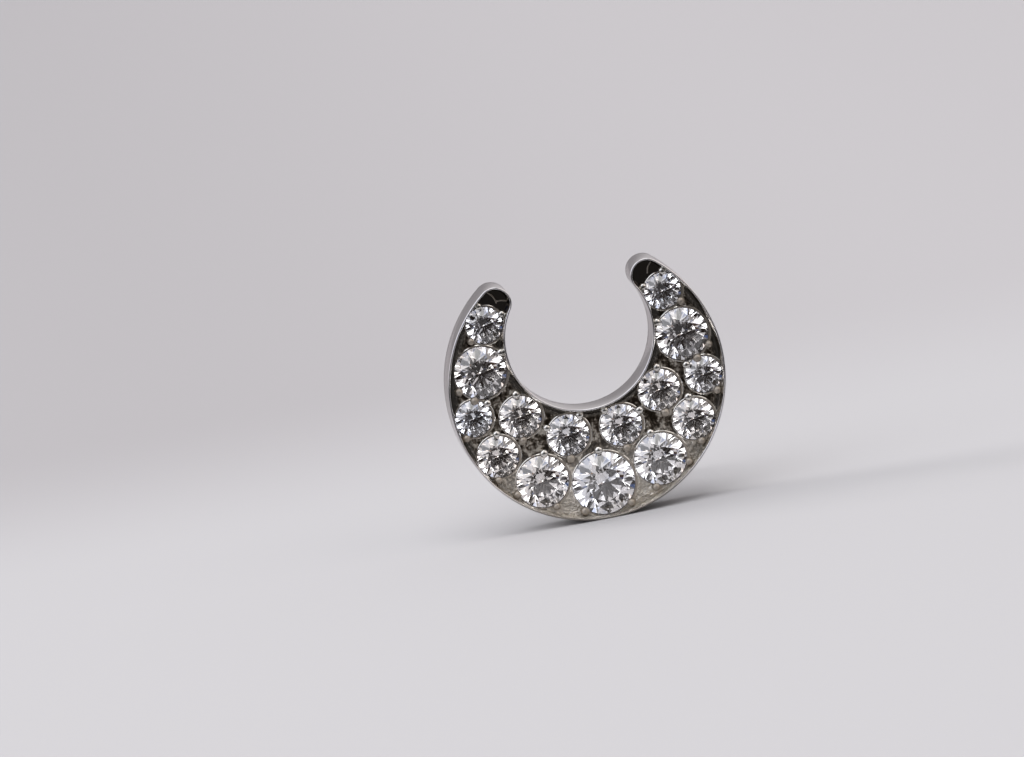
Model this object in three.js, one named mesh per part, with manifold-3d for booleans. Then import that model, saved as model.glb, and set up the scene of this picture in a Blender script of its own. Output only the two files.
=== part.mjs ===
// Crescent labret stud: a pave-set crescent on a plain flat-back post.
// Millimetres. Every piece is drawn lying face up: X to the right, Y towards the crescent's opening, Z out of
// the face, with the plate's centre at the origin and the rim's front edge at Z 0. The exported group then
// stands the stud up, +Z up and face towards -Y, on the crescent's rim and the rim of its back disc.
import * as THREE from "three";
import { mergeVertices } from "three/addons/utils/BufferGeometryUtils.js";
import { ConvexGeometry } from "three/addons/geometries/ConvexGeometry.js";
import Module from "manifold-3d";

const wasm = await Module();
wasm.setup();

// The crescent plate: a disc, less a round opening that sits off centre, with rounded horn tips.
const plate = { outerR: 4, innerR: 2.12, innerLift: 1.36, tipR: 0.485, thickness: 1.1 };
// The sunk floor inside the thin rim. The rim is wider at its foot than at its top edge. The floor's cutter
// runs out past the rim's front along the wall's own slope.
const recess = { depth: 0.27, rimTop: 0.06, rimFoot: 0.12, overrun: 0.1 };
// Round brilliant cut. Sizes are shares of the girdle's radius, angles are from the girdle's plane.
const cut = {
  mains: 8, table: 0.56, star: 0.5, lower: 0.23, girdle: 0.06, crownDeg: 34.5, pavilionDeg: 40.9,
};
// How a stone sits: its girdle's depth, the gap all round it, the bore above it and the light hole under it.
const seat = { girdleDepth: 0.25, gap: 0.03, boreMargin: 0.05, sides: 16, holeShare: 0.3, holeSides: 8 };
// Grain claws: round beads raised from the floor beside a stone, reaching over its edge. The dome has one
// corner between its shoulder and its top.
const claw = {
  radius: 0.125, offset: 0.07, topDepth: 0.08, domeHeight: 0.1, domeCornerDeg: 40, rootDepth: 0.36, sides: 8,
};
// The crescent's own pin, and the plain post that it plugs into. The post ends in a flat disc.
const pin = { radius: 0.42, length: 1.5, root: 0.1, sides: 16 };
const post = { radius: 0.6, wearLength: 4, boreClearance: 0.03, endClearance: 0.1, faceGap: 0.03, sides: 32 };
const disc = { radius: 1.2, thickness: 0.4, edgeRadius: 0.15, edgeSteps: 2 };
// Segments round the plate: an odd number puts a flat, not a corner, at its foot.
const segments = { outer: 73, tip: 12, inner: 48 };

// Stones of the right half and the middle, from the tip down. Claws are bearings from the stone's centre,
// in degrees clockwise from the opening.
const stoneRows = [
  { place: "tip", x: 2.605, y: 2.15, diameter: 1.05, claws: [8, -66, 129] },
  { place: "horn", x: 2.945, y: 0.818, diameter: 1.5, claws: [-54, 121, 158] },
  { place: "edge", x: 3.36, y: -0.455, diameter: 1.05, claws: [-50, 149] },
  { place: "side", x: 2.864, y: -1.668, diameter: 1.2, claws: [-5, 171] },
  { place: "bend", x: 2.028, y: -0.654, diameter: 1.2, claws: [2, 176] },
  { place: "belly", x: 1.724, y: -2.623, diameter: 1.5, claws: [-12, 106, -161] },
  { place: "inner", x: 0.771, y: -1.445, diameter: 1.2, claws: [-38, 60, 176] },
  { place: "middle", x: 0, y: -3.0, diameter: 1.8, claws: [0, 136, -136], blind: true },
];

const titanium = new THREE.MeshStandardMaterial({ color: 0xb4b0ac, roughness: 0.22, metalness: 1 });
const zirconia = new THREE.MeshStandardMaterial({ color: 0xf2f5f8, roughness: 0.02, metalness: 0 });

const radians = THREE.MathUtils.degToRad;

// The horn's tip is a circle that touches the outer edge and the opening.
const tipCentre = (() => {
  const fromCentre = plate.outerR - plate.tipR;
  const fromOpening = plate.innerR + plate.tipR;
  const y = (fromCentre ** 2 - fromOpening ** 2 + plate.innerLift ** 2) / (2 * plate.innerLift);
  return new THREE.Vector2(Math.sqrt(fromCentre ** 2 - y ** 2), y);
})();
const outerTipAngle = Math.atan2(tipCentre.y, tipCentre.x);
const innerTipAngle = Math.atan2(tipCentre.y - plate.innerLift, tipCentre.x);

// Half the angle of one flat on the outer edge, and how far the flats at the two feet lie from their centres.
const outerHalfStep = (Math.PI / 2 + outerTipAngle) / segments.outer;
const plateFoot = plate.outerR * Math.cos(outerHalfStep);
const discFoot = disc.radius * Math.cos(Math.PI / post.sides);
const postY = discFoot - plateFoot;

// Points along an arc, without its last point.
function arcPoints(centreX, centreY, radius, from, to, count) {
  return Array.from({ length: count }, (_, i) => {
    const angle = from + ((to - from) * i) / count;
    return new THREE.Vector2(centreX + radius * Math.cos(angle), centreY + radius * Math.sin(angle));
  });
}

// The crescent's outline, counter-clockwise, moved inwards by inset.
function crescentOutline(inset) {
  const outerR = plate.outerR - inset;
  const innerR = plate.innerR + inset;
  const tipR = plate.tipR - inset;
  const half = Math.PI;
  return [
    ...arcPoints(0, 0, outerR, half - outerTipAngle, 2 * half + outerTipAngle, segments.outer),
    ...arcPoints(tipCentre.x, tipCentre.y, tipR, outerTipAngle, innerTipAngle + half, segments.tip),
    ...arcPoints(0, plate.innerLift, innerR, innerTipAngle, -half - innerTipAngle, segments.inner),
    ...arcPoints(-tipCentre.x, tipCentre.y, tipR, -innerTipAngle, half - outerTipAngle, segments.tip),
  ];
}

// A solid between two outlines with the same number of points, the lower at lowZ and the upper at highZ.
function taperedPrism(lower, upper, lowZ, highZ) {
  const count = lower.length;
  const position = [
    ...lower.flatMap((p) => [p.x, p.y, lowZ]),
    ...upper.flatMap((p) => [p.x, p.y, highZ]),
  ];
  const index = [];
  for (let i = 0; i < count; i++) {
    const next = (i + 1) % count;
    index.push(i, next, count + next, i, count + next, count + i);
  }
  for (const [a, b, c] of THREE.ShapeUtils.triangulateShape(lower, [])) {
    index.push(c, b, a, count + a, count + b, count + c);
  }
  const geometry = new THREE.BufferGeometry();
  geometry.setAttribute("position", new THREE.Float32BufferAttribute(position, 3));
  geometry.setIndex(index);
  return geometry;
}

// A turned shape about Z from [radius, z] points that start and end on the axis, from the bottom up.
function turned(profile, sides) {
  const points = profile.map(([radius, z]) => new THREE.Vector2(radius, z));
  return new THREE.LatheGeometry(points, sides, Math.PI / sides).rotateX(Math.PI / 2);
}

// A closed geometry as a manifold-3d solid, and a solid as flat-shaded geometry.
function toSolid(geometry) {
  const bare = geometry.clone();
  bare.deleteAttribute("normal");
  bare.deleteAttribute("uv");
  const merged = mergeVertices(bare, 1e-5);
  const mesh = new wasm.Mesh({
    numProp: 3,
    vertProperties: new Float32Array(merged.attributes.position.array),
    triVerts: new Uint32Array(merged.index.array),
  });
  return new wasm.Manifold(mesh);
}

function toGeometry(solid) {
  const mesh = solid.getMesh();
  const geometry = new THREE.BufferGeometry();
  geometry.setAttribute("position", new THREE.BufferAttribute(mesh.vertProperties, 3));
  geometry.setIndex(new THREE.BufferAttribute(mesh.triVerts, 1));
  const flat = geometry.toNonIndexed();
  flat.computeVertexNormals();
  return flat;
}

// The rows of both halves: each row off the middle line stands on the right and, mirrored, on the left.
function allStones() {
  return stoneRows.flatMap((row) => {
    if (row.x === 0) return [{ ...row, name: `stone_${row.place}` }];
    const left = { ...row, x: -row.x, claws: row.claws.map((bearing) => -bearing) };
    return [
      { ...left, name: `stone_${row.place}_left` },
      { ...row, name: `stone_${row.place}_right` },
    ];
  });
}

// A round brilliant: table, 8 stars, 8 kites, 16 upper halves, girdle, 16 lower halves, 8 mains and a point.
// Z 0 is the girdle's top edge. The facets run out to a round girdle, so its edges are scalloped.
function brilliant(diameter) {
  const radius = diameter / 2;
  const crownSlope = Math.tan(radians(cut.crownDeg));
  const pavilionSlope = Math.tan(radians(cut.pavilionDeg));
  const halfStep = Math.PI / cut.mains;
  const girdle = cut.girdle * radius;
  const tableR = cut.table * radius;
  const edgeR = tableR * Math.cos(halfStep);
  const starR = edgeR + cut.star * (radius - edgeR);
  const starZ = (radius - starR * Math.cos(halfStep)) * crownSlope;
  const lowerR = cut.lower * radius;
  const lowerZ = (radius - lowerR * Math.cos(halfStep)) * pavilionSlope;
  // How far a half facet's plane moves in Z between its girdle corners and the round girdle between them.
  const bulge = radius * (1 - Math.cos(halfStep / 2));
  const reachIn = (r) => (radius - r) * Math.cos(halfStep / 2) - bulge * (r / radius);
  const upperScallop = (bulge * starZ) / reachIn(starR);
  const lowerScallop = (bulge * lowerZ) / reachIn(lowerR);
  const at = (r, angle, z) => new THREE.Vector3(r * Math.sin(angle), r * Math.cos(angle), z);

  const points = [at(0, 0, -girdle - radius * pavilionSlope)];
  for (let i = 0; i < 2 * cut.mains; i++) {
    const angle = i * halfStep;
    const between = angle + halfStep / 2;
    if (i % 2 === 0) {
      points.push(at(tableR, angle, (radius - tableR) * crownSlope));
    } else {
      points.push(at(starR, angle, starZ), at(lowerR, angle, -girdle - lowerZ));
    }
    points.push(at(radius, angle, 0), at(radius, between, -upperScallop));
    points.push(at(radius, angle, -girdle), at(radius, between, -girdle + lowerScallop));
  }
  return new ConvexGeometry(points);
}

// The bore above a stone's ledge, out through the rim's front.
function seatBore({ diameter }) {
  const radius = diameter / 2 + seat.boreMargin;
  const ledge = -cut.girdle * (diameter / 2) - seat.gap;
  const open = 2 * seat.girdleDepth;
  return turned([[0, ledge], [radius, ledge], [radius, open], [0, open]], seat.sides);
}

// The room round a stone: its outline, larger by the gap on every side.
function stoneRoom({ diameter }) {
  const radius = diameter / 2;
  const crown = radians(cut.crownDeg);
  const pavilion = radians(cut.pavilionDeg);
  const wide = radius + seat.gap;
  const girdle = cut.girdle * radius;
  const apex = -girdle - radius * Math.tan(pavilion) - seat.gap / Math.cos(pavilion);
  const crownZ = (r) => (radius - r) * Math.tan(crown) + seat.gap / Math.cos(crown);
  const tableR = cut.table * radius;
  const profile = [
    [0, apex],
    [wide, apex + wide * Math.tan(pavilion)],
    [wide, crownZ(wide)],
    [tableR, crownZ(tableR)],
    [0, crownZ(tableR)],
  ];
  return turned(profile, seat.sides);
}

// The light hole from a seat's cone out through the plate's back.
function lightHole({ diameter }) {
  const radius = (seat.holeShare * diameter) / 2;
  const top = -cut.girdle * (diameter / 2) - seat.gap;
  return turned([[0, -plate.thickness], [radius, -plate.thickness], [radius, top], [0, top]], seat.holeSides);
}

function clawBead() {
  const shoulder = -claw.topDepth - claw.domeHeight;
  const corner = radians(claw.domeCornerDeg);
  const profile = [
    [0, -claw.rootDepth],
    [claw.radius, -claw.rootDepth],
    [claw.radius, shoulder],
    [claw.radius * Math.cos(corner), shoulder + claw.domeHeight * Math.sin(corner)],
    [0, -claw.topDepth],
  ];
  return turned(profile, claw.sides);
}

// The crescent: one piece of metal with its rim, floor, seats, claws and the pin on its back.
function crescentSetting(stones) {
  const shape = new THREE.Shape(crescentOutline(0));
  const blank = new THREE.ExtrudeGeometry(shape, { depth: plate.thickness, bevelEnabled: false });
  blank.translate(0, 0, -plate.thickness);
  const slope = (recess.rimFoot - recess.rimTop) / recess.depth;
  const cutter = taperedPrism(
    crescentOutline(recess.rimFoot),
    crescentOutline(recess.rimTop - slope * recess.overrun),
    -recess.depth,
    recess.overrun,
  );
  const pinSolid = turned(
    [
      [0, -plate.thickness - pin.length],
      [pin.radius, -plate.thickness - pin.length],
      [pin.radius, -plate.thickness + pin.root],
      [0, -plate.thickness + pin.root],
    ],
    pin.sides,
  );
  pinSolid.translate(0, postY, 0);

  let metal = toSolid(blank).add(toSolid(pinSolid)).subtract(toSolid(cutter));
  const placed = (geometry, { x, y }) => toSolid(geometry.translate(x, y, -seat.girdleDepth));
  for (const stone of stones) metal = metal.subtract(placed(seatBore(stone), stone));
  for (const stone of stones) {
    const reach = stone.diameter / 2 + claw.offset;
    for (const bearing of stone.claws.map(radians)) {
      const x = stone.x + reach * Math.sin(bearing);
      const y = stone.y + reach * Math.cos(bearing);
      metal = metal.add(toSolid(clawBead().translate(x, y, 0)));
    }
  }
  for (const stone of stones) {
    metal = metal.subtract(placed(stoneRoom(stone), stone));
    if (!stone.blind) metal = metal.subtract(placed(lightHole(stone), stone));
  }
  return toGeometry(metal);
}

// The post: shaft and back disc in one piece, bored for the crescent's pin. Its face meets the plate's back.
function labretPost() {
  const face = -plate.thickness - post.faceGap;
  const boreR = pin.radius + post.boreClearance;
  const boreEnd = -plate.thickness - pin.length - post.endClearance;
  const discFront = -plate.thickness - post.wearLength;
  const discBack = discFront - disc.thickness;
  const inset = disc.radius - disc.edgeRadius;
  // Quarter rounds at the disc's two edges, from the back face round to the front face.
  const edge = (fromDeg, centreZ) =>
    Array.from({ length: disc.edgeSteps + 1 }, (_, i) => {
      const angle = radians(fromDeg + (90 * i) / disc.edgeSteps);
      return [inset + disc.edgeRadius * Math.cos(angle), centreZ + disc.edgeRadius * Math.sin(angle)];
    });
  const profile = [
    [0, discBack],
    ...edge(-90, discBack + disc.edgeRadius),
    ...edge(0, discFront - disc.edgeRadius),
    [post.radius, discFront],
    [post.radius, face],
    [boreR, face],
    [boreR, boreEnd],
    [0, boreEnd],
  ];
  return turned(profile, post.sides).translate(0, postY, 0);
}

function addPiece(group, name, geometry, material) {
  const mesh = new THREE.Mesh(geometry, material);
  mesh.name = name;
  group.add(mesh);
  return mesh;
}

const stones = allStones();
const stud = new THREE.Group();
addPiece(stud, "crescent_setting", crescentSetting(stones), titanium);
addPiece(stud, "labret_post", labretPost(), titanium);
for (const stone of stones) {
  const mesh = addPiece(stud, stone.name, brilliant(stone.diameter), zirconia);
  mesh.position.set(stone.x, stone.y, -seat.girdleDepth);
}

// Upright, standing on the origin by the middle of its base.
stud.rotation.x = Math.PI / 2;
const box = new THREE.Box3().setFromObject(stud, true);
const middle = box.getCenter(new THREE.Vector3());
stud.position.set(-middle.x, -middle.y, -box.min.z);

export default stud;
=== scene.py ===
import math
import bpy
import bmesh
from mathutils import Matrix, Vector


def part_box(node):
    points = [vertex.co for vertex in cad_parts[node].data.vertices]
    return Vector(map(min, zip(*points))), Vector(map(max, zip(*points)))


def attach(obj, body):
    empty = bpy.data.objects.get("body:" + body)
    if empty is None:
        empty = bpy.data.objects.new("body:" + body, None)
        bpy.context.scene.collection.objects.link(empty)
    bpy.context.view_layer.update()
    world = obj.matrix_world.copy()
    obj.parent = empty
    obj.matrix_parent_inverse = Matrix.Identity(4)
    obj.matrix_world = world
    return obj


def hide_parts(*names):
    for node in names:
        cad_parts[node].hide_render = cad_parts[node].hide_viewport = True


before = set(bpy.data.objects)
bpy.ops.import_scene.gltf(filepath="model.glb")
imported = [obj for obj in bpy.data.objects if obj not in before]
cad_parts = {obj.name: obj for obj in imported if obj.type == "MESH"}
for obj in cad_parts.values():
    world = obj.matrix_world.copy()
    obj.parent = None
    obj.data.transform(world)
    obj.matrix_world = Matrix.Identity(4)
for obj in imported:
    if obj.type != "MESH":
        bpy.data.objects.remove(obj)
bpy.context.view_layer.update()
mm = 0.001
stoneNames = sorted(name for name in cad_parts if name.startswith("stone_"))
print("frame loaded,", len(stoneNames), "stones")

# the stud's sizes, as the model has them

crescent = {
    "outerRadius": 4.0 * mm,
    "openingRadius": 2.12 * mm,
    "openingLift": 1.36 * mm,  # the opening's centre above the outer edge's centre
    "tipRadius": 0.485 * mm,
    "thickness": 1.1 * mm,
    "floorDepth": 0.27 * mm,
    "rimTop": 0.06 * mm,
    "rimFoot": 0.12 * mm,
    "frontRound": 0.03 * mm,  # worn edges of the thin rim
    "backRound": 0.05 * mm,
    "roundSteps": 4,
    "outerSteps": 220,
    "tipSteps": 28,
    "openingSteps": 150,
}
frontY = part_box("crescent_setting")[0][1]
centreZ = crescent["outerRadius"]  # it stands on its lower edge


def tipCentre():  # the horn's tip touches the outer edge and the opening
    reach = crescent["outerRadius"] - crescent["tipRadius"]
    clear = crescent["openingRadius"] + crescent["tipRadius"]
    lift = crescent["openingLift"]
    up = (reach ** 2 - clear ** 2 + lift ** 2) / (2 * lift)
    return math.sqrt(reach ** 2 - up ** 2), up


def arcPoints(x, up, radius, start, end, steps):  # without the arc's last point
    angles = [start + (end - start) * i / steps for i in range(steps)]
    return [(x + radius * math.cos(a), up + radius * math.sin(a)) for a in angles]


def crescentOutline(inset):  # the outer edge, a tip, the opening and the other tip
    x, up = tipCentre()
    lift = crescent["openingLift"]
    outerAngle = math.atan2(up, x)
    innerAngle = math.atan2(up - lift, x)
    outerRadius = crescent["outerRadius"] - inset
    innerRadius = crescent["openingRadius"] + inset
    tipRadius = crescent["tipRadius"] - inset
    tipSteps = crescent["tipSteps"]
    half = math.pi
    return (
        arcPoints(0, 0, outerRadius, half - outerAngle, 2 * half + outerAngle, crescent["outerSteps"])
        + arcPoints(x, up, tipRadius, outerAngle, innerAngle + half, tipSteps)
        + arcPoints(0, lift, innerRadius, innerAngle, -half - innerAngle, crescent["openingSteps"])
        + arcPoints(-x, up, tipRadius, -innerAngle, half - outerAngle, tipSteps)
    )


def atDepth(x, up, depth):  # depth is behind the rim's front edge
    return Vector((x, frontY + depth, centreZ + up))


# mesh helpers

smoothing = {"angle": 35, "flatNormal": 0.995}  # degrees, and how squarely a flat face looks out


def addObject(name, mesh):
    piece = bpy.data.objects.new(name, mesh)
    bpy.context.scene.collection.objects.link(piece)
    return piece


def meshFrom(name, build):
    shape = bmesh.new()
    build(shape)
    bmesh.ops.recalc_face_normals(shape, faces=shape.faces)
    mesh = bpy.data.meshes.new(name)
    shape.to_mesh(mesh)
    shape.free()
    return mesh


def joinRings(shape, rings):  # a solid through closed rings that have as many corners each
    for lower, upper in zip(rings, rings[1:]):
        for i in range(len(lower)):
            j = (i + 1) % len(lower)
            shape.faces.new((lower[i], lower[j], upper[j], upper[i]))
    shape.faces.new(rings[0])
    shape.faces.new(rings[-1])


def addTurned(shape, profile, x, up, steps):  # profile of (radius, depth), from axis to axis
    rings = []
    for radius, depth in profile:
        if radius == 0:
            rings.append([shape.verts.new(atDepth(x, up, depth))])
            continue
        angles = [2 * math.pi * (i + 0.5) / steps for i in range(steps)]
        rings.append([
            shape.verts.new(atDepth(x + radius * math.cos(a), up + radius * math.sin(a), depth))
            for a in angles
        ])
    for one, two in zip(rings, rings[1:]):
        for i in range(steps):
            j = (i + 1) % steps
            corners = [one[i % len(one)], one[j % len(one)], two[j % len(two)], two[i % len(two)]]
            shape.faces.new(list(dict.fromkeys(corners)))


def turnedObject(name, profile, x, up, steps):
    return addObject(name, meshFrom(name, lambda shape: addTurned(shape, profile, x, up, steps)))


def bakeModifiers(piece):
    graph = bpy.context.evaluated_depsgraph_get()
    mesh = bpy.data.meshes.new_from_object(piece.evaluated_get(graph))
    piece.modifiers.clear()
    piece.data = mesh


def addBoolean(piece, tool, operation):
    modifier = piece.modifiers.new(operation.lower(), "BOOLEAN")
    modifier.solver = "MANIFOLD"
    modifier.operation = operation
    modifier.object = tool


def keepFlats(mesh):  # the flat front and back faces shade as true flats, up to their rounded edges
    shape = bmesh.new()
    shape.from_mesh(mesh)
    for edge in shape.edges:
        if len({abs(face.normal.y) > smoothing["flatNormal"] for face in edge.link_faces}) > 1:
            edge.smooth = False
    shape.to_mesh(mesh)
    shape.free()


def smoothByAngle(piece):
    piece.data.shade_smooth()
    piece.data.set_sharp_from_angle(angle=math.radians(smoothing["angle"]))
    keepFlats(piece.data)
    weighted = piece.modifiers.new("weighted", "WEIGHTED_NORMAL")
    weighted.keep_sharp = True
    weighted.weight = 100  # the larger faces decide
    bakeModifiers(piece)


# materials

def srgb(text):  # hex to linear
    parts = [int(text[i:i + 2], 16) / 255 for i in (1, 3, 5)]
    return tuple(p / 12.92 if p <= 0.04045 else ((p + 0.055) / 1.055) ** 2.4 for p in parts) + (1,)


def pickSocket(sockets, key):  # by its place, or by name among those that the node's settings leave on
    if isinstance(key, int):
        return sockets[key]
    return next(s for s in sockets if s.enabled and s.name == key)


def addNode(tree, kind, inputs=None, output=None, **settings):  # gives that output, or else the node
    node = tree.nodes.new(kind)
    for name, value in settings.items():
        setattr(node, name, value)
    for key, value in (inputs or {}).items():
        socket = pickSocket(node.inputs, key)
        if isinstance(value, bpy.types.NodeSocket):
            tree.links.new(value, socket)
        else:
            socket.default_value = value
    return pickSocket(node.outputs, output) if output else node


def newMaterial(name):
    material = bpy.data.materials.new(name)
    material.use_nodes = True
    tree = material.node_tree
    tree.nodes.clear()
    return material, tree


wheelPolish = {
    "lineLength": 0.9 * mm,  # coarser than the real lines, which are too fine to show
    "lineShape": 14,  # its length over its width, which runs from front to back
    "lineDepth": 0.0004 * mm,
    "smoothest": 0.12,  # roughness
    "roughest": 0.2,
    "colour": "#dcdadb",
    "edgeColour": "#dedbda",  # seen at a low angle
    # painted shade near the ground: full up to the first height, gone by the second
    "groundShadeColour": "#948f89",
    "fullShadeUpTo": 0.3 * mm,  # above the ground
    "shadeEndsAt": 1.8 * mm,
}


def polishedTitanium():  # wheel-polished titanium: a pale grey mirror, faint wheel lines, and painted shade near the ground
    material, tree = newMaterial("polishedTitanium")
    coords = addNode(tree, "ShaderNodeTexCoord", output="Object")
    squeezed = addNode(tree, "ShaderNodeMapping", {
        "Vector": coords, "Scale": (1, wheelPolish["lineShape"], 1)}, "Vector")
    lines = addNode(tree, "ShaderNodeTexNoise", {
        "Vector": squeezed, "Scale": 1 / wheelPolish["lineLength"], "Detail": 4}, "Fac")
    rough = addNode(tree, "ShaderNodeMapRange", {
        "Value": lines, "From Min": 0.3, "From Max": 0.7,
        "To Min": wheelPolish["smoothest"], "To Max": wheelPolish["roughest"]}, "Result")
    bump = addNode(tree, "ShaderNodeBump", {
        "Height": lines, "Distance": wheelPolish["lineDepth"], "Strength": 0.5}, "Normal")
    height = addNode(tree, "ShaderNodeSeparateXYZ", {"Vector": coords}, "Z")
    # painted shade: the colour darkens towards the ground
    groundShade = addNode(tree, "ShaderNodeMapRange", {
        "Value": height, "From Min": wheelPolish["fullShadeUpTo"], "From Max": wheelPolish["shadeEndsAt"],
        "To Min": 1.0, "To Max": 0.0}, "Result", interpolation_type="SMOOTHSTEP")
    colour = addNode(tree, "ShaderNodeMix", {
        "Factor": groundShade, "A": srgb(wheelPolish["colour"]), "B": srgb(wheelPolish["groundShadeColour"])},
        "Result", data_type="RGBA")
    shader = addNode(tree, "ShaderNodeBsdfPrincipled", {
        "Base Color": colour, "Metallic": 1.0, "Roughness": rough,
        "Specular Tint": srgb(wheelPolish["edgeColour"]), "Normal": bump}, "BSDF")
    addNode(tree, "ShaderNodeOutputMaterial", {"Surface": shader})
    return material


burnish = {"dentWidth": 0.12 * mm, "dentDepth": 0.008 * mm, "colour": "#d2d0cb", "roughness": 0.12}


def brightCutTitanium():  # burnished by the beading tool and the graver: the brightest metal
    material, tree = newMaterial("brightCutTitanium")
    coords = addNode(tree, "ShaderNodeTexCoord", output="Object")
    dents = addNode(tree, "ShaderNodeTexNoise", {
        "Vector": coords, "Scale": 1 / burnish["dentWidth"], "Detail": 2}, "Fac")
    bump = addNode(tree, "ShaderNodeBump", {
        "Height": dents, "Distance": burnish["dentDepth"], "Strength": 0.5}, "Normal")
    shader = addNode(tree, "ShaderNodeBsdfPrincipled", {
        "Base Color": srgb(burnish["colour"]), "Metallic": 1.0, "Roughness": burnish["roughness"],
        "Normal": bump}, "BSDF")
    addNode(tree, "ShaderNodeOutputMaterial", {"Surface": shader})
    return material


wornPunchAndShade = {"dentWidth": 0.07 * mm, "dentDepth": 0.02 * mm, "colour": "#b2aa9f", "roughness": 0.5}


def punchedAndShadedTitanium():  # a worn punch's duller, matt metal round each seat and on the mill marks; on the claws below each stone it is a matt finish whose darker colour is painted shade
    material, tree = newMaterial("punchedAndShadedTitanium")
    coords = addNode(tree, "ShaderNodeTexCoord", output="Object")
    dents = addNode(tree, "ShaderNodeTexNoise", {
        "Vector": coords, "Scale": 1 / wornPunchAndShade["dentWidth"], "Detail": 3}, "Fac")
    bump = addNode(tree, "ShaderNodeBump", {
        "Height": dents, "Distance": wornPunchAndShade["dentDepth"], "Strength": 0.8}, "Normal")
    shader = addNode(tree, "ShaderNodeBsdfPrincipled", {
        "Base Color": srgb(wornPunchAndShade["colour"]), "Metallic": 1.0, "Roughness": wornPunchAndShade["roughness"],
        "Normal": bump}, "BSDF")
    addNode(tree, "ShaderNodeOutputMaterial", {"Surface": shader})
    return material


sunkFloor = {
    "trackWidth": 0.15 * mm,  # the clean mill track along the rim, and where it has faded
    "trackEnd": 0.32 * mm,
    "trackShare": 0.85,  # how clean the track is, and how much less so where the floor has its painted reflection
    "trackLoss": 0.8,
    "tipStart": 1.9 * mm,  # heights from the outer edge's centre, here and below
    "tipClean": 2.45 * mm,
    # painted reflection of the plaster floor: painted pale between these heights, up to this share
    "reflectionStart": -1.5 * mm,
    "reflectionEnd": -3.3 * mm,
    "paintedReflectionShare": 0.6,
    "blotchWidth": 0.3 * mm,
    "blotchShare": 0.8,  # of the grain's height
    "grainWidth": 0.12 * mm,
    "pitDepth": 0.055 * mm,
    "palePitDepth": 0.12 * mm,
    "stains": [(0.45, "#2a241d"), (0.525, "#6a6258"), (0.59, "#c6c0b5")],  # from pits to heights
    "paintedReflectionColour": "#f0eadf",
    "trackColour": "#a8a39b",
    # painted dark reflection at the tips
    "tipDarkReflectionColour": "#6f6a64",
    "cleanRoughness": 0.1,
    "punchedRoughness": 0.3,
}


def radiusFrom(tree, coords, lift):  # in the crescent's plane, from a centre on its middle line
    offset = addNode(tree, "ShaderNodeVectorMath", {0: coords, 1: (0, 0, centreZ + lift)}, "Vector",
                     operation="SUBTRACT")
    flat = addNode(tree, "ShaderNodeVectorMath", {0: offset, 1: (1, 0, 1)}, "Vector",
                   operation="MULTIPLY")
    return addNode(tree, "ShaderNodeVectorMath", {0: flat}, "Value", operation="LENGTH")


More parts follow.
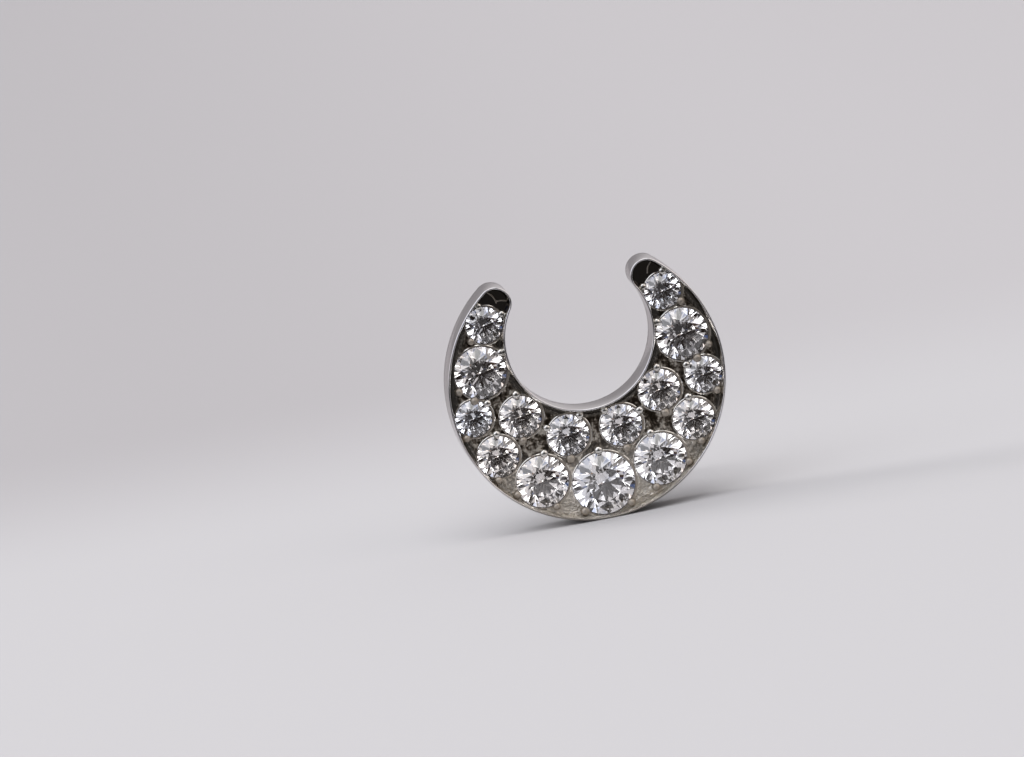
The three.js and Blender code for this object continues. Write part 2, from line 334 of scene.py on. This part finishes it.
def milledTitanium():  # the floor: clean mill track at rim and tips, painted dark at the tips, punched and stained in between, with a painted pale reflection of the plaster towards the bottom
    material, tree = newMaterial("milledTitanium")
    coords = addNode(tree, "ShaderNodeTexCoord", output="Object")
    fromCentre = radiusFrom(tree, coords, 0)
    fromOpening = radiusFrom(tree, coords, crescent["openingLift"])
    outer = addNode(tree, "ShaderNodeMath", {0: crescent["outerRadius"], 1: fromCentre}, "Value",
                    operation="SUBTRACT")
    inner = addNode(tree, "ShaderNodeMath", {0: fromOpening, 1: crescent["openingRadius"]}, "Value",
                    operation="SUBTRACT")
    toRim = addNode(tree, "ShaderNodeMath", {0: outer, 1: inner}, "Value", operation="MINIMUM")
    atRim = addNode(tree, "ShaderNodeMapRange", {
        "Value": toRim, "From Min": sunkFloor["trackWidth"], "From Max": sunkFloor["trackEnd"],
        "To Min": 1.0, "To Max": 0.0}, "Result", interpolation_type="SMOOTHSTEP")
    height = addNode(tree, "ShaderNodeSeparateXYZ", {"Vector": coords}, "Z")
    atTip = addNode(tree, "ShaderNodeMapRange", {
        "Value": height, "From Min": centreZ + sunkFloor["tipStart"],
        "From Max": centreZ + sunkFloor["tipClean"]}, "Result", interpolation_type="SMOOTHSTEP")
    # painted reflection: the floor is painted pale towards the bottom, as if it mirrored the plaster
    pale = addNode(tree, "ShaderNodeMapRange", {
        "Value": height, "From Min": centreZ + sunkFloor["reflectionEnd"],
        "From Max": centreZ + sunkFloor["reflectionStart"], "To Min": 1.0, "To Max": 0.0}, "Result",
        interpolation_type="SMOOTHSTEP")
    cleanness = addNode(tree, "ShaderNodeMapRange", {
        "Value": pale, "To Min": sunkFloor["trackShare"],
        "To Max": sunkFloor["trackShare"] - sunkFloor["trackLoss"]}, "Result")
    track = addNode(tree, "ShaderNodeMath", {0: atRim, 1: cleanness}, "Value", operation="MULTIPLY")
    clean = addNode(tree, "ShaderNodeMath", {0: track, 1: atTip}, "Value", operation="MAXIMUM")
    punched = addNode(tree, "ShaderNodeMath", {0: 1.0, 1: clean}, "Value", operation="SUBTRACT")

    blotch = addNode(tree, "ShaderNodeTexNoise", {
        "Vector": coords, "Scale": 1 / sunkFloor["blotchWidth"], "Detail": 2, "Roughness": 0.6}, "Fac")
    grain = addNode(tree, "ShaderNodeTexNoise", {
        "Vector": coords, "Scale": 1 / sunkFloor["grainWidth"], "Detail": 3, "Roughness": 0.65}, "Fac")
    relief = addNode(tree, "ShaderNodeMath", {
        0: blotch, 1: sunkFloor["blotchShare"], 2: grain}, "Value", operation="MULTIPLY_ADD")
    level = addNode(tree, "ShaderNodeMath", {0: relief, 1: 1 + sunkFloor["blotchShare"]}, "Value",
                    operation="DIVIDE")
    ramp = addNode(tree, "ShaderNodeValToRGB", {"Fac": level})
    stops = ramp.color_ramp.elements
    stops.new(0.5)  # a third stop, between the two that it starts with
    for stop, (place, colour) in zip(stops, sunkFloor["stains"]):
        stop.position, stop.color = place, srgb(colour)
    reflectionAmount = addNode(tree, "ShaderNodeMath", {0: pale, 1: sunkFloor["paintedReflectionShare"]}, "Value",
                       operation="MULTIPLY")
    bare = addNode(tree, "ShaderNodeMix", {
        "Factor": reflectionAmount, "A": ramp.outputs["Color"], "B": srgb(sunkFloor["paintedReflectionColour"])},
        "Result", data_type="RGBA")
    # painted dark reflection: the clean floor darkens to this colour at the tips
    cut = addNode(tree, "ShaderNodeMix", {
        "Factor": atTip, "A": srgb(sunkFloor["trackColour"]), "B": srgb(sunkFloor["tipDarkReflectionColour"])},
        "Result", data_type="RGBA")
    colour = addNode(tree, "ShaderNodeMix", {"Factor": clean, "A": bare, "B": cut}, "Result",
                     data_type="RGBA")
    rough = addNode(tree, "ShaderNodeMapRange", {
        "Value": punched, "To Min": sunkFloor["cleanRoughness"],
        "To Max": sunkFloor["punchedRoughness"]}, "Result", interpolation_type="SMOOTHSTEP")
    depth = addNode(tree, "ShaderNodeMapRange", {
        "Value": pale, "To Min": sunkFloor["pitDepth"], "To Max": sunkFloor["palePitDepth"]},
        "Result", interpolation_type="SMOOTHSTEP")
    pits = addNode(tree, "ShaderNodeMath", {0: relief, 1: punched}, "Value", operation="MULTIPLY")
    bump = addNode(tree, "ShaderNodeBump", {"Height": pits, "Distance": depth, "Strength": 1.0}, "Normal")
    shader = addNode(tree, "ShaderNodeBsdfPrincipled", {
        "Base Color": colour, "Metallic": 1.0, "Roughness": rough, "Normal": bump}, "BSDF")
    addNode(tree, "ShaderNodeOutputMaterial", {"Surface": shader})
    return material


cutStone = {
    "ior": 2.15,
    "tintWidth": 1.5 * mm,
    "tints": [(0.35, "#f5f8ff"), (0.65, "#fff9f4")],  # a breath of cold and of warm
}


def cubicZirconia():  # colourless cubic zirconia, cut and polished: sharp facets, strong white returns
    material, tree = newMaterial("cubicZirconia")
    coords = addNode(tree, "ShaderNodeTexCoord", output="Object")
    cloud = addNode(tree, "ShaderNodeTexNoise", {
        "Vector": coords, "Scale": 1 / cutStone["tintWidth"], "Detail": 1}, "Fac")
    ramp = addNode(tree, "ShaderNodeValToRGB", {"Fac": cloud})
    for stop, (place, colour) in zip(ramp.color_ramp.elements, cutStone["tints"]):
        stop.position, stop.color = place, srgb(colour)
    shader = addNode(tree, "ShaderNodeBsdfPrincipled", {
        "Base Color": ramp.outputs["Color"], "Roughness": 0.0, "IOR": cutStone["ior"],
        "Transmission Weight": 1.0}, "BSDF")
    addNode(tree, "ShaderNodeOutputMaterial", {"Surface": shader})
    return material


polished = polishedTitanium()
brightCut = brightCutTitanium()
punched = punchedAndShadedTitanium()
milled = milledTitanium()
zirconia = cubicZirconia()
print("materials mixed")

# the seats, measured from the stones themselves

seat = {
    "girdleDepth": 0.25 * mm,
    "girdleShare": 0.06,  # girdle height over girdle radius
    "tableShare": 0.56,  # table radius over girdle radius
    "crownAngle": math.radians(34.5),
    "pavilionAngle": math.radians(40.9),
    "gap": 0.012 * mm,
    "boreMargin": 0.018 * mm,
    "lip": {  # the thin burr that the seat cutter raises round each stone, a little to one side
        "bearing": 0.004 * mm,
        "peak": 0.048 * mm,
        "outer": 0.064 * mm,
        "height": 0.011 * mm,
        "root": 0.03 * mm,
        "aside": 0.028 * mm,
    },
    "holeShare": 0.3,  # the light hole through the back, over girdle radius
    "steps": 64,
}


def stoneSeat(name):
    low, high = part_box(name)
    place, _, side = name[len("stone_"):].partition("_")
    return {
        "place": place,
        "side": -1 if side == "left" else 1,
        "x": (low[0] + high[0]) / 2,
        "up": (low[2] + high[2]) / 2 - centreZ,
        "radius": (high[0] - low[0]) / 2,
    }


def girdleFoot(stone):
    return seat["girdleDepth"] + seat["girdleShare"] * stone["radius"]


def boreProfile(stone):
    radius = stone["radius"] + seat["boreMargin"]
    ledge = girdleFoot(stone) + seat["gap"]
    return [(0, ledge), (radius, ledge), (radius, -ledge), (0, -ledge)]


def lipProfile(stone):
    lip, floor = seat["lip"], crescent["floorDepth"]
    peak, outer = stone["radius"] + lip["peak"], stone["radius"] + lip["outer"]
    root = floor + lip["root"]
    return [(0, root), (outer, root), (outer, floor), (peak, floor - lip["height"]),
            (0, floor - lip["bearing"])]


def roomProfile(stone):  # the stone's own outline, larger by the gap
    radius = stone["radius"]
    wide = radius + seat["gap"]
    table = seat["tableShare"] * radius
    crownSlope, pavilionSlope = math.tan(seat["crownAngle"]), math.tan(seat["pavilionAngle"])
    crownLift = seat["gap"] / math.cos(seat["crownAngle"])
    pavilionDrop = seat["gap"] / math.cos(seat["pavilionAngle"])
    apex = girdleFoot(stone) + radius * pavilionSlope + pavilionDrop

    def crownDepth(r):
        return seat["girdleDepth"] - (radius - r) * crownSlope - crownLift

    profile = [(0, apex), (wide, apex - wide * pavilionSlope), (wide, crownDepth(wide)),
               (table, crownDepth(table)), (0, crownDepth(table))]
    if stone["place"] == "middle":  # the pin's root closes this one
        return profile
    hole = seat["holeShare"] * radius
    back = crescent["thickness"] + seat["gap"]
    return [(0, back), (hole, back), (hole, apex - hole * pavilionSlope)] + profile[1:]


# grain claws, placed by Geometry Nodes

claws = {
    "radius": 0.125 * mm,
    "offset": 0.07 * mm,  # its centre outside the stone's girdle
    "topDepth": 0.11 * mm,
    "domeHeight": 0.1 * mm,
    "rootDepth": 0.36 * mm,
    "smallest": 0.82,
    "largest": 1.04,
    "steps": 20,
    "domeSteps": 6,
    "groups": 3,  # neighbours that touch go in different groups
    "bearings": {  # clockwise from the opening, right half
        "tip": [8, -66, 129],
        "horn": [-54, 121, 158],
        "edge": [-50, 149],
        "side": [-5, 171],
        "bend": [2, 176],
        "belly": [-12, 106, -161],
        "inner": [-38, 60, 176],
        "middle": [0, 136, -136],
    },
}


def clawPlaces(stones):
    places = []
    for stone in stones:
        reach = stone["radius"] + claws["offset"]
        for bearing in claws["bearings"][stone["place"]]:
            angle = math.radians(bearing) * stone["side"]
            places.append({
                "x": stone["x"] + reach * math.sin(angle),
                "up": stone["up"] + reach * math.cos(angle),
                "below": math.cos(angle) < 0,
            })
    return places


def clawProfile():
    radius = claws["radius"]
    shoulder = claws["topDepth"] + claws["domeHeight"]
    quarter = math.pi / 2 / claws["domeSteps"]
    dome = [(radius * math.cos(quarter * i), shoulder - claws["domeHeight"] * math.sin(quarter * i))
            for i in range(1, claws["domeSteps"])]
    return [(0, claws["rootDepth"]), (radius, claws["rootDepth"]), (radius, shoulder), *dome,
            (0, claws["topDepth"])]


def clawTree():  # a claw at each point, each of its own size
    tree = bpy.data.node_groups.new("grainClaws", "GeometryNodeTree")
    tree.is_modifier = True
    given = [("Geometry", "Geometry"), ("Claw", "Object"), ("Smallest", "Float"), ("Largest", "Float"),
             ("Seed", "Int"), ("Material", "Material")]
    for name, kind in given:
        tree.interface.new_socket(name, in_out="INPUT", socket_type="NodeSocket" + kind)
    tree.interface.new_socket("Geometry", in_out="OUTPUT", socket_type="NodeSocketGeometry")
    inputs = addNode(tree, "NodeGroupInput").outputs
    shape = addNode(tree, "GeometryNodeObjectInfo", {"Object": inputs["Claw"]}, "Geometry")
    size = addNode(tree, "FunctionNodeRandomValue", {
        "Min": inputs["Smallest"], "Max": inputs["Largest"], "Seed": inputs["Seed"]}, "Value",
        data_type="FLOAT")
    placed = addNode(tree, "GeometryNodeInstanceOnPoints", {
        "Points": inputs["Geometry"], "Instance": shape, "Scale": size}, "Instances")
    real = addNode(tree, "GeometryNodeRealizeInstances", {"Geometry": placed}, "Geometry")
    dressed = addNode(tree, "GeometryNodeSetMaterial", {
        "Geometry": real, "Material": inputs["Material"]}, "Geometry")
    addNode(tree, "NodeGroupOutput", {"Geometry": dressed})
    return tree


def setInput(modifier, name, value):
    for item in modifier.node_group.interface.items_tree:
        if item.item_type == "SOCKET" and item.in_out == "INPUT" and item.name == name:
            modifier[item.identifier] = value


def clawsOn(places, tree, claw, seed):
    def points(shape):
        for place in places:
            shape.verts.new(atDepth(place["x"], place["up"], 0))

    piece = addObject("claws", meshFrom("claws", points))
    modifier = piece.modifiers.new("grainClaws", "NODES")
    modifier.node_group = tree
    setInput(modifier, "Claw", claw)
    setInput(modifier, "Smallest", claws["smallest"])
    setInput(modifier, "Largest", claws["largest"])
    setInput(modifier, "Seed", seed)
    setInput(modifier, "Material", brightCut)
    bakeModifiers(piece)
    return piece


# the crescent in one piece of metal

pin = {"radius": 0.42 * mm, "length": 1.5 * mm, "root": 0.1 * mm, "steps": 48}
disc = {"radius": 1.2 * mm, "thickness": 0.4 * mm, "edge": 0.15 * mm, "edgeSteps": 6}
postUp = disc["radius"] - centreZ


def crescentProfile():  # (inset, depth) from the back over the rim to the floor
    front, back, top = crescent["frontRound"], crescent["backRound"], crescent["rimTop"]
    thick, steps = crescent["thickness"], crescent["roundSteps"]
    turns = [math.pi / 2 * i / steps for i in range(steps + 1)]
    return (
        [(back - back * math.sin(t), thick - back + back * math.cos(t)) for t in turns]
        + [(front - front * math.cos(t), front - front * math.sin(t)) for t in turns]
        + [(top - front + front * math.sin(t), front - front * math.cos(t)) for t in turns[:-1]]
        + [(crescent["rimFoot"], crescent["floorDepth"])]
    )


def crescentBlank(shape):
    joinRings(shape, [
        [shape.verts.new(atDepth(x, up, depth)) for x, up in crescentOutline(inset)]
        for inset, depth in crescentProfile()
    ])


millMarks = [  # steps that a small end mill left in the floor at the horns' tips: arcs, in degrees
    {"x": -2.622 * mm, "up": 2.67 * mm, "radius": 0.47 * mm, "from": 4, "to": 58},
    {"x": -2.074 * mm, "up": 2.19 * mm, "radius": 0.573 * mm, "from": 54, "to": 98},
    {"x": 2.662 * mm, "up": 2.721 * mm, "radius": 0.4 * mm, "from": 122, "to": 180},
]
markSize = {"halfWidth": 0.018 * mm, "height": 0.012 * mm, "root": 0.03 * mm, "steps": 16}


def markRidge(shape, mark):
    low, high = math.radians(mark["from"]), math.radians(mark["to"])
    floor, half = crescent["floorDepth"], markSize["halfWidth"]
    root = floor + markSize["root"]
    section = [(-half, root), (-half, floor), (0, floor - markSize["height"]), (half, floor), (half, root)]
    rings = []
    for i in range(markSize["steps"] + 1):
        angle = low + (high - low) * i / markSize["steps"]
        rings.append([
            shape.verts.new(atDepth(mark["x"] + (mark["radius"] + out) * math.cos(angle),
                                    mark["up"] + (mark["radius"] + out) * math.sin(angle), depth))
            for out, depth in section
        ])
    joinRings(shape, rings)


def turnedTool(name, stone, profile, aside=0):
    return turnedObject(name, profile, stone["x"] + aside, stone["up"], seat["steps"])


def buildCrescent(stones, places):
    piece = addObject("crescentMetal", meshFrom("crescentMetal", crescentBlank))
    tools = []

    def work(operation, tool):
        tools.append(tool)
        addBoolean(piece, tool, operation)

    back = crescent["thickness"]
    pinProfile = [(0, back - pin["root"]), (pin["radius"], back - pin["root"]),
                  (pin["radius"], back + pin["length"]), (0, back + pin["length"])]
    work("UNION", turnedObject("pinTool", pinProfile, 0, postUp, pin["steps"]))
    for stone in stones:
        work("UNION", turnedTool("lipTool", stone, lipProfile(stone), seat["lip"]["aside"]))
    for stone in stones:
        work("DIFFERENCE", turnedTool("boreTool", stone, boreProfile(stone)))

    for mark in millMarks:
        work("UNION", addObject("mark", meshFrom("mark", lambda shape: markRidge(shape, mark))))

    claw = turnedObject("claw", clawProfile(), 0, 0, claws["steps"])
    claw.data.transform(Matrix.Translation(-atDepth(0, 0, 0)))
    tree = clawTree()
    for group in range(claws["groups"]):
        work("UNION", clawsOn(places[group::claws["groups"]], tree, claw, group))
    for stone in stones:
        work("DIFFERENCE", turnedTool("roomTool", stone, roomProfile(stone)))
    bakeModifiers(piece)
    for tool in [*tools, claw]:
        bpy.data.objects.remove(tool)
    return piece


sorting = {"flat": 0.001 * mm, "flatNormal": 0.98, "clawReach": 1.08 * claws["radius"]}


def lipReach(x, up, stones):  # how far a point lies outside the nearest stone, seen from the burr's centre
    aside = seat["lip"]["aside"]
    return min(math.hypot(x - s["x"] - aside, up - s["up"]) - s["radius"] for s in stones)


def metalAt(face, stones, places):  # by the tool that worked the face last, with darker metal on the claws below the stones as painted shade
    x, up = face.center.x, face.center.z - centreZ
    floorY = frontY + crescent["floorDepth"]
    slopeTop = frontY + 2 * crescent["frontRound"]
    raised = floorY - face.center.y
    flat, lip = sorting["flat"], seat["lip"]
    near = (p for p in places if math.hypot(x - p["x"], up - p["up"]) < sorting["clawReach"])
    claw = next(near, None)
    if claw and raised > 2 * flat:
        # painted shade: claws below a stone take the darker, matt metal, those above it the bright one
        return punched if claw["below"] else brightCut
    onFloor = abs(raised) < flat and face.normal.y < -sorting["flatNormal"]
    onRimSlope = lip["height"] < raised < floorY - slopeTop
    if onFloor or onRimSlope:
        return milled
    reach = lipReach(x, up, stones)
    if flat < raised < lip["height"] and reach < lip["outer"]:
        return punched if reach < lip["peak"] else brightCut
    return punched if flat < raised < markSize["height"] else polished


def dressCrescent(piece, stones, places):
    mesh = piece.data
    mesh.materials.clear()
    metals = [polished, milled, brightCut, punched]
    for metal in metals:
        mesh.materials.append(metal)
    for face in mesh.polygons:
        face.material_index = metals.index(metalAt(face, stones, places))


stones = [stoneSeat(name) for name in stoneNames]
clawSpots = clawPlaces(stones)
crescentMetal = buildCrescent(stones, clawSpots)
dressCrescent(crescentMetal, stones, clawSpots)
smoothByAngle(crescentMetal)
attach(crescentMetal, "root")
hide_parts("crescent_setting")
print("crescent:", len(crescentMetal.data.polygons), "faces,", len(clawSpots), "claws")

# the post with its disc

post = {
    "radius": 0.6 * mm,
    "wearLength": 4.0 * mm,
    "bore": 0.45 * mm,
    "faceGap": 0.03 * mm,
    "endGap": 0.1 * mm,
    "bevel": 0.03 * mm,
    "steps": 96,
}


def buildPost():
    back = crescent["thickness"]
    face = back + post["faceGap"]
    boreEnd = back + pin["length"] + post["endGap"]
    discFront = back + post["wearLength"]
    discBack = discFront + disc["thickness"]
    inset, edge = disc["radius"] - disc["edge"], disc["edge"]
    turns = [math.pi / 2 * i / disc["edgeSteps"] for i in range(disc["edgeSteps"] + 1)]
    profile = (
        [(0, discBack)]
        + [(inset + edge * math.sin(t), discBack - edge + edge * math.cos(t)) for t in turns]
        + [(inset + edge * math.cos(t), discFront + edge - edge * math.sin(t)) for t in turns]
        + [(post["radius"], discFront), (post["radius"], face + post["bevel"]),
           (post["radius"] - post["bevel"], face), (post["bore"], face), (post["bore"], boreEnd),
           (0, boreEnd)]
    )
    piece = turnedObject("postMetal", profile, 0, postUp, post["steps"])
    piece.data.materials.append(polished)
    return piece


postMetal = buildPost()
smoothByAngle(postMetal)
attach(postMetal, "root")
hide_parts("labret_post")
print("post:", len(postMetal.data.polygons), "faces")

# the stones keep the model's facets

for name in stoneNames:
    node = bpy.data.objects[name]
    node.data.materials.clear()
    node.data.materials.append(zirconia)
print("stones dressed")

# the plaster floor, and a black flag in front that shows in the stud alone

plaster = {
    "halfSize": 1.0,  # metres
    "nearColour": "#9e9d9f",
    # painted shade: the far colours darken the floor further back, most to the left
    "farLeftShadeColour": "#908e90",
    "farRightShadeColour": "#999799",
    "nearTo": 4 * mm,  # how far back the near colour reaches, and where the far ones start
    "farFrom": 26 * mm,
    "leftTo": -12 * mm,  # the same across, from the far left colour to the far right one
    "rightFrom": 18 * mm,
    "poreWidth": 0.15 * mm,
    "poreDepth": 0.004 * mm,
    "roughness": 0.9,
}
flag = {"front": -10 * mm, "reach": 400 * mm, "lift": 0.01 * mm, "colour": "#100e0d", "roughness": 0.9}


def palePlaster():  # matt white plaster: pale near the stud, with painted shade a tone darker further back, most so to the left
    material, tree = newMaterial("palePlaster")
    coords = addNode(tree, "ShaderNodeTexCoord", output="Object")
    across, back, _ = addNode(tree, "ShaderNodeSeparateXYZ", {"Vector": coords}).outputs
    away = addNode(tree, "ShaderNodeMapRange", {
        "Value": back, "From Min": plaster["nearTo"], "From Max": plaster["farFrom"]}, "Result",
        interpolation_type="SMOOTHSTEP")
    aside = addNode(tree, "ShaderNodeMapRange", {
        "Value": across, "From Min": plaster["leftTo"], "From Max": plaster["rightFrom"]}, "Result",
        interpolation_type="SMOOTHSTEP")
    # painted shade away from the stud
    far = addNode(tree, "ShaderNodeMix", {
        "Factor": aside, "A": srgb(plaster["farLeftShadeColour"]), "B": srgb(plaster["farRightShadeColour"])},
        "Result", data_type="RGBA")
    colour = addNode(tree, "ShaderNodeMix", {
        "Factor": away, "A": srgb(plaster["nearColour"]), "B": far}, "Result", data_type="RGBA")
    pores = addNode(tree, "ShaderNodeTexNoise", {
        "Vector": coords, "Scale": 1 / plaster["poreWidth"], "Detail": 2}, "Fac")
    bump = addNode(tree, "ShaderNodeBump", {
        "Height": pores, "Distance": plaster["poreDepth"], "Strength": 0.4}, "Normal")
    shader = addNode(tree, "ShaderNodeBsdfPrincipled", {
        "Base Color": colour, "Roughness": plaster["roughness"], "Specular IOR Level": 0.0,
        "Normal": bump}, "BSDF")
    addNode(tree, "ShaderNodeOutputMaterial", {"Surface": shader})
    return material


def blackPaper():  # dull black paper, as a studio flag is
    material, tree = newMaterial("blackPaper")
    shader = addNode(tree, "ShaderNodeBsdfPrincipled", {
        "Base Color": srgb(flag["colour"]), "Roughness": flag["roughness"]}, "BSDF")
    addNode(tree, "ShaderNodeOutputMaterial", {"Surface": shader})
    return material


def addSheet(name, half, front, back, height, material):
    corners = [(-half, front, height), (half, front, height), (half, back, height), (-half, back, height)]
    mesh = meshFrom(name, lambda shape: shape.faces.new([shape.verts.new(c) for c in corners]))
    mesh.materials.append(material)
    return addObject(name, mesh)


floor = addSheet("floor", plaster["halfSize"], -plaster["halfSize"], plaster["halfSize"], 0, palePlaster())
paper = addSheet("flag", flag["reach"], flag["front"] - flag["reach"], flag["front"], flag["lift"],
                 blackPaper())
paper.visible_camera = False
paper.visible_diffuse = False
paper.visible_shadow = False
print("floor and flag laid")

# light and camera

lamps = [  # softboxes: where they stand, how wide they look from the stud, and how bright they are
    {"name": "keyBox", "azimuth": -62, "elevation": 42, "width": 60, "glow": 1.0,
     "colour": "#eef3ff", "mirrored": True},
    {"name": "sideBox", "azimuth": -108, "elevation": 28, "width": 20, "glow": 16.0,
     "colour": "#fffdfa", "mirrored": False},
    {"name": "leftBox", "azimuth": -50, "elevation": 66, "width": 72, "glow": 2.1,
     "colour": "#ffffff", "mirrored": False},
    {"name": "topBox", "azimuth": 10, "elevation": 74, "width": 36, "glow": 1.8,
     "colour": "#ffffff", "mirrored": True},
    {"name": "fillBox", "azimuth": 62, "elevation": 34, "width": 46, "glow": 0.8,
     "colour": "#fff1e6", "mirrored": True},
]
lampDistance = 0.8  # metres
target = Vector((0, frontY, centreZ))  # lamps and camera aim at the middle of the stud's front


def direction(azimuth, elevation):
    a, e = math.radians(azimuth), math.radians(elevation)
    return Vector((math.sin(a) * math.cos(e), -math.cos(a) * math.cos(e), math.sin(e)))


def addLamp(lamp):
    toward = direction(lamp["azimuth"], lamp["elevation"])
    light = bpy.data.lights.new(lamp["name"], "AREA")
    light.shape = "DISK"
    light.size = 2 * lampDistance * math.tan(math.radians(lamp["width"] / 2))
    light.color = srgb(lamp["colour"])[:3]
    light.energy = lamp["glow"] * math.pi * math.pi * (light.size / 2) ** 2  # as bright at any size
    holder = bpy.data.objects.new(lamp["name"], light)
    turn = toward.to_track_quat("Z", "Y").to_matrix().to_4x4()
    holder.matrix_world = Matrix.Translation(target + toward * lampDistance) @ turn
    holder.visible_glossy = lamp["mirrored"]  # the others light the scene but don't show in the metal
    bpy.context.scene.collection.objects.link(holder)


for lamp in lamps:
    addLamp(lamp)

room = {
    "wall": "#e6e4e6",  # lights the stud and the floor
    "seen": "#cbc9cc",  # what shows behind them
    "darkPlaces": [  # the unlit end of the room in front, a dimmer wall behind, blue and brown things
        {"azimuth": 0, "elevation": 4, "core": 17, "edge": 33, "colour": "#221d1b"},
        {"azimuth": 190, "elevation": 2, "core": 6, "edge": 26, "colour": "#a8a6a9"},
        {"azimuth": -42, "elevation": 16, "core": 6, "edge": 14, "colour": "#4f5f88"},
        {"azimuth": 14, "elevation": 42, "core": 5, "edge": 10, "colour": "#4f5f88"},
        {"azimuth": 46, "elevation": 10, "core": 6, "edge": 14, "colour": "#8a6c58"},
        {"azimuth": -18, "elevation": 60, "core": 5, "edge": 10, "colour": "#8a6c58"},
    ],
}


def studioWorld():
    world = bpy.data.worlds.new("studio")
    world.use_nodes = True
    tree = world.node_tree
    tree.nodes.clear()
    way = addNode(tree, "ShaderNodeTexCoord", output="Generated")
    colour = srgb(room["wall"])
    for place in room["darkPlaces"]:
        toward = direction(place["azimuth"], place["elevation"])
        edge, core = math.cos(math.radians(place["edge"])), math.cos(math.radians(place["core"]))
        aim = addNode(tree, "ShaderNodeVectorMath", {0: way, 1: toward}, "Value", operation="DOT_PRODUCT")
        share = addNode(tree, "ShaderNodeMapRange", {
            "Value": aim, "From Min": edge, "From Max": core}, "Result", interpolation_type="SMOOTHSTEP")
        colour = addNode(tree, "ShaderNodeMix", {
            "Factor": share, "A": colour, "B": srgb(place["colour"])}, "Result", data_type="RGBA")
    lit = addNode(tree, "ShaderNodeBackground", {"Color": colour}, "Background")
    plain = addNode(tree, "ShaderNodeBackground", {"Color": srgb(room["seen"])}, "Background")
    seen = addNode(tree, "ShaderNodeLightPath", output="Is Camera Ray")
    mixed = addNode(tree, "ShaderNodeMixShader", {"Fac": seen, 1: lit, 2: plain}, "Shader")
    addNode(tree, "ShaderNodeOutputWorld", {"Surface": mixed})
    return world


bpy.context.scene.world = studioWorld()
bpy.context.scene.view_settings.view_transform = "Standard"

view = {
    "azimuth": -5.6,
    "elevation": 10.3,
    "roll": 10.0,
    "distance": 300 * mm,
    "fieldWidth": 29.2 * mm,
    "objectRight": 2.15 * mm,
    "objectDown": 0.115 * mm,
    "sensorWidth": 36,  # the camera counts this one in millimetres
    "nearest": 10 * mm,
    "farthest": 5.0,  # metres
}


def addCamera():
    toward = direction(view["azimuth"], view["elevation"])
    level = Vector((0, 0, 1)).cross(toward).normalized()
    rise = toward.cross(level)
    lean = math.radians(view["roll"])
    right = level * math.cos(lean) - rise * math.sin(lean)
    up = level * math.sin(lean) + rise * math.cos(lean)
    aim = target - right * view["objectRight"] + up * view["objectDown"]
    data = bpy.data.cameras.new("camera")
    data.sensor_width = view["sensorWidth"]
    data.lens = view["sensorWidth"] * view["distance"] / view["fieldWidth"]
    data.clip_start, data.clip_end = view["nearest"], view["farthest"]
    holder = bpy.data.objects.new("camera", data)
    turn = Matrix((right, up, toward)).transposed().to_4x4()
    holder.matrix_world = Matrix.Translation(aim + toward * view["distance"]) @ turn
    bpy.context.scene.collection.objects.link(holder)
    bpy.context.scene.camera = holder


addCamera()
print("camera and light placed")
